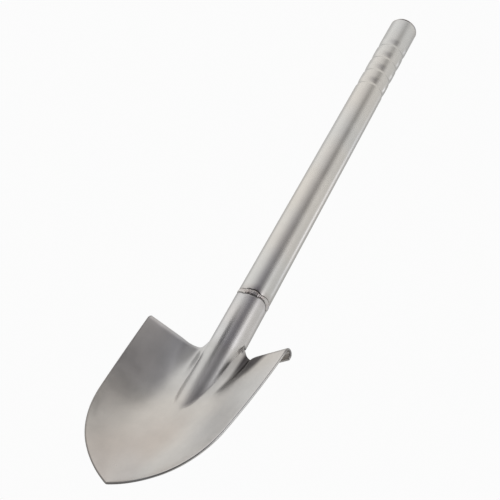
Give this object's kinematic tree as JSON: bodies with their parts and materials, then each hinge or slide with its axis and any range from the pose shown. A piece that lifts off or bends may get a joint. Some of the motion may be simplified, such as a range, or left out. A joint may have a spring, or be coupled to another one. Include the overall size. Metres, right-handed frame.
{
  "type": "detecting shovel",
  "caption": "Welded stainless digging hand shovel: dished pointed blade with rolled foot treads, and a straight tube handle with grip rings.",
  "frame": {"origin": "middle of the flat outer face of the handle's end cap", "axes": "+Z along the handle from the blade to the end cap, -Y towards the front, which is the hollow side of the blade, and +X to the digger's right"},
  "size_m": [0.1558, 0.0645, 0.6008],
  "materials": {
    "satin_steel": "fine satin, tumbled and lightly brushed",
    "weld_steel": "wire-brushed weld metal"
  },
  "bodies": {
    "root": {"blade": "satin_steel", "socket_seam_weld": "weld_steel", "joint_weld": "weld_steel", "handle_tube": "satin_steel", "end_cap": "satin_steel", "end_cap_weld": "weld_steel"}
  },
  "joints": []
}
